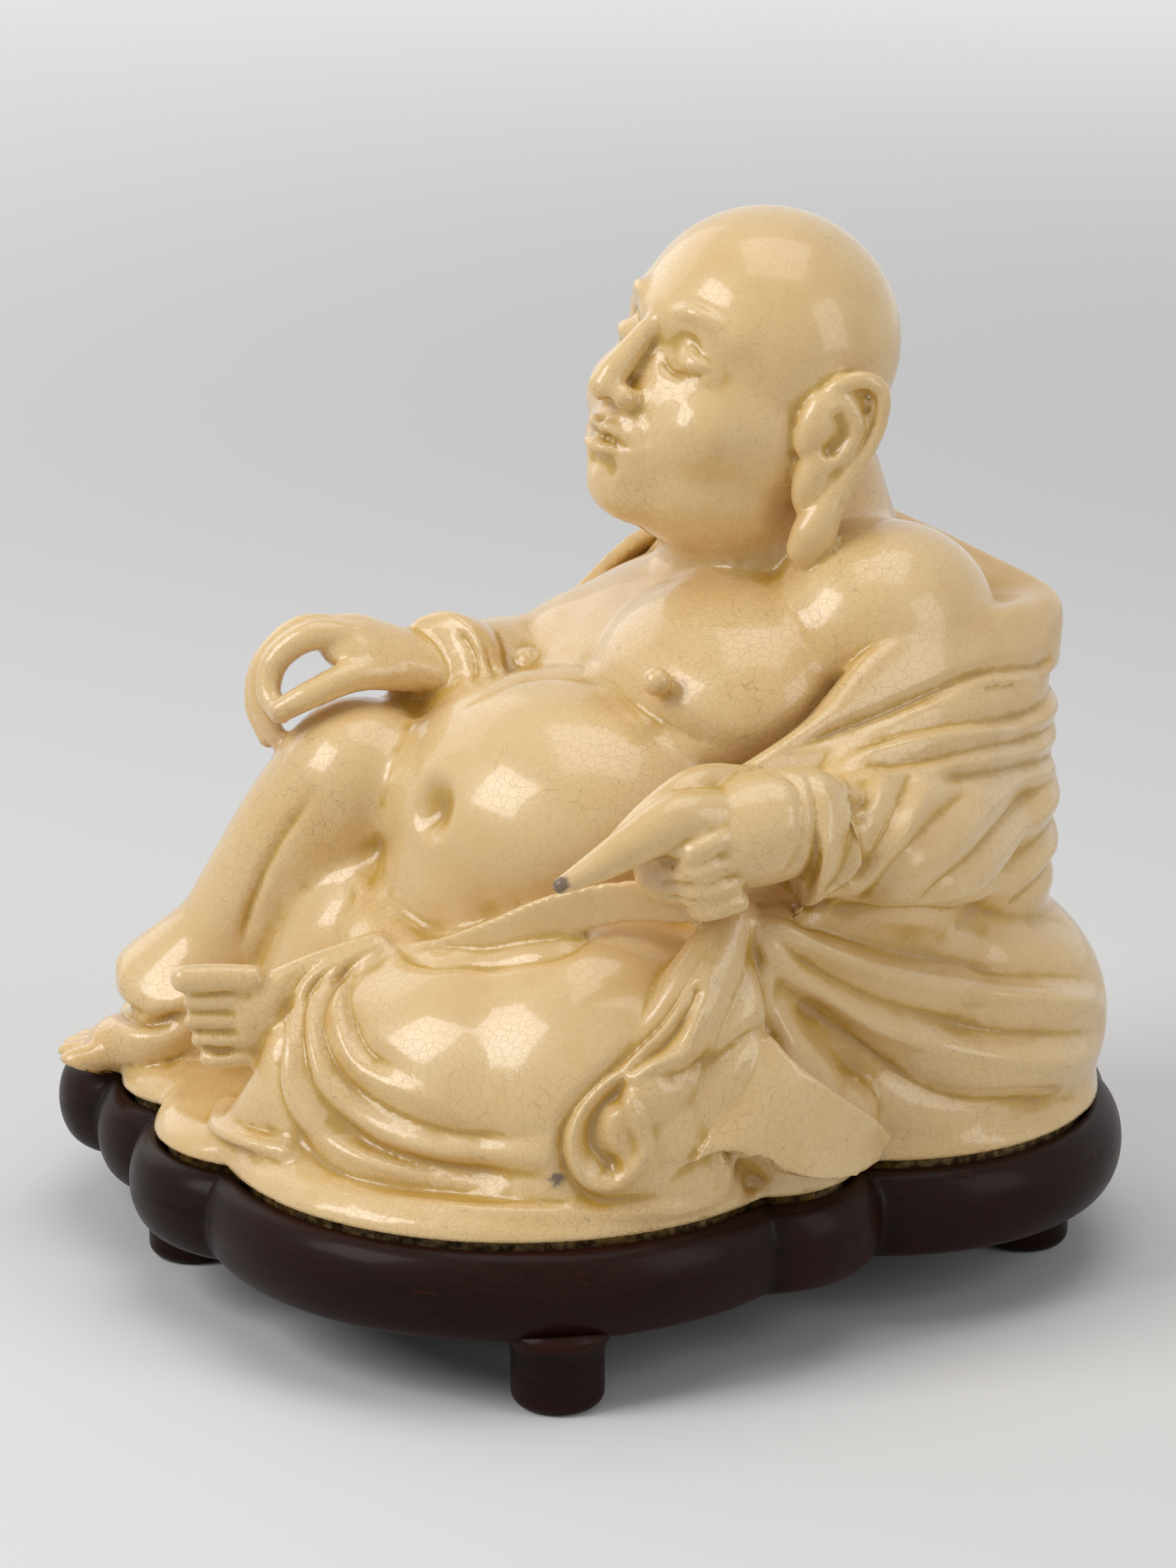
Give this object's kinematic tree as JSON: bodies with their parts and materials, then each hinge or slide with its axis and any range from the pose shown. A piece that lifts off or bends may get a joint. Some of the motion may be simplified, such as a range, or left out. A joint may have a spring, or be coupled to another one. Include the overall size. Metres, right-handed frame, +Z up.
{
  "type": "porcelain budai figure on stand",
  "caption": "Seated big-bellied monk figure in cream crackled porcelain, resting in the recess of a lobed dark hardwood stand with stub feet.",
  "frame": {"origin": "on the table under the middle of the bounding box, in the plane of the stand's four foot undersides", "axes": "+Z up, +Y towards the back of the figure, -Y its front with the belly and the feet, +X towards the figure's own left, where the sack lies"},
  "size_m": [0.2218, 0.2164, 0.2342],
  "materials": {
    "glazed_porcelain": "cream crackle glaze, glossy",
    "dark_hardwood": "dark reddish-brown hardwood, polished satin"
  },
  "bodies": {
    "root": {"figure": "glazed_porcelain", "stand": "dark_hardwood"}
  },
  "joints": []
}
